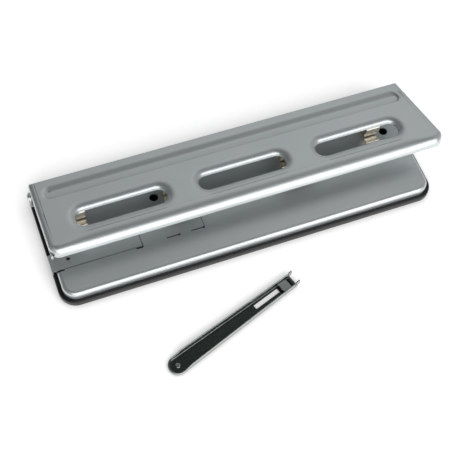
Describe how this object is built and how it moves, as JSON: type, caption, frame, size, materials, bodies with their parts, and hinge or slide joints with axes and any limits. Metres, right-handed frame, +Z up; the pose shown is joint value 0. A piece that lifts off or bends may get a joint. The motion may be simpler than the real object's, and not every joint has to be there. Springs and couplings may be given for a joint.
{
  "type": "strip binding machine",
  "caption": "Manual desktop strip binding punch: a windowed steel lever over a low base in a black tray, with a sliding edge guide and a loose hand tool.",
  "frame": {"origin": "centre of the base on the table, at the bottom of the middle rubber foot", "axes": "+X along the machine to the lever's flared end, +Y to the hinge at the back, +Z up"},
  "size_m": [0.3349, 0.189, 0.0369],
  "materials": {
    "silver_paint": "satin metallic",
    "black_plastic": "satin",
    "rubber": "matt",
    "zinc_plate": "yellowish zinc plate",
    "bright_steel": "ground",
    "spring_steel": "drawn wire",
    "dark_chrome": "bright plate"
  },
  "bodies": {
    "tray": {"base_tray": "black_plastic", "rubber_feet": "rubber"},
    "chassis": {"base_cover": "silver_paint", "die_rail": "zinc_plate", "bracket_rivets": "zinc_plate", "hinge_bracket_left": "silver_paint", "hinge_bracket_right": "silver_paint", "hinge_pin_left": "bright_steel", "hinge_pin_right": "bright_steel", "hinge_rivets": "zinc_plate", "hinge_clips": "bright_steel", "rear_stop_pads": "rubber", "guide_channel": "black_plastic", "punch_bracket_1": "zinc_plate", "punch_bracket_2": "zinc_plate", "punch_bracket_3": "zinc_plate", "punch_bracket_4": "zinc_plate"},
    "lever": {"lever_plate": "silver_paint", "lever_lug_right": "silver_paint", "lever_stiffener": "silver_paint", "stop_buffers": "rubber", "buffer_studs": "zinc_plate"},
    "edge_guide": {"edge_guide": "silver_paint"},
    "hand_tool": {"tool_channel": "dark_chrome", "tool_end_block": "dark_chrome", "tool_cross_pin": "dark_chrome", "tool_rivet": "dark_chrome"},
    "punch_1": {"punch_cap_1": "zinc_plate", "punch_pin_1": "bright_steel", "return_spring_1": "spring_steel"},
    "punch_2": {"punch_cap_2": "zinc_plate", "punch_pin_2": "bright_steel", "return_spring_2": "spring_steel"},
    "punch_3": {"punch_cap_3": "zinc_plate", "punch_pin_3": "bright_steel", "return_spring_3": "spring_steel"},
    "punch_4": {"punch_cap_4": "zinc_plate", "punch_pin_4": "bright_steel", "return_spring_4": "spring_steel"}
  },
  "joints": [
    {"name": "tray_release", "type": "slide", "parent": "tray", "child": "chassis", "axis": [0, 0, 1], "range_m": [0, 0.03]},
    {"name": "lever_hinge", "type": "hinge", "parent": "chassis", "child": "lever", "pos_m": [0, 0.0385, 0.0197], "axis": [1, 0, 0], "range_deg": [0, 10], "stiffness_Nm_per_rad": 0.8, "springref_deg": -28.65},
    {"name": "guide_slide", "type": "slide", "parent": "chassis", "child": "edge_guide", "axis": [-1, 0, 0], "range_m": [0, 0.0088]},
    {"name": "tool_lift", "type": "slide", "parent": "tray", "child": "hand_tool", "axis": [0, 0, 1], "range_m": [0, 0.05]},
    {"name": "punch_1_slide", "type": "slide", "parent": "chassis", "child": "punch_1", "axis": [0, 0, -1], "range_m": [0, 0.00491], "deforming": ["return_spring_1"]},
    {"name": "punch_2_slide", "type": "slide", "parent": "chassis", "child": "punch_2", "axis": [0, 0, -1], "range_m": [0, 0.00491], "deforming": ["return_spring_2"]},
    {"name": "punch_3_slide", "type": "slide", "parent": "chassis", "child": "punch_3", "axis": [0, 0, -1], "range_m": [0, 0.00491], "deforming": ["return_spring_3"]},
    {"name": "punch_4_slide", "type": "slide", "parent": "chassis", "child": "punch_4", "axis": [0, 0, -1], "range_m": [0, 0.00491], "deforming": ["return_spring_4"]}
  ],
  "couplings": [
    {"joint": "punch_1_slide", "follows": "lever_hinge", "m_per_rad": 0.02807},
    {"joint": "punch_2_slide", "follows": "lever_hinge", "m_per_rad": 0.02807},
    {"joint": "punch_3_slide", "follows": "lever_hinge", "m_per_rad": 0.02807},
    {"joint": "punch_4_slide", "follows": "lever_hinge", "m_per_rad": 0.02807}
  ]
}
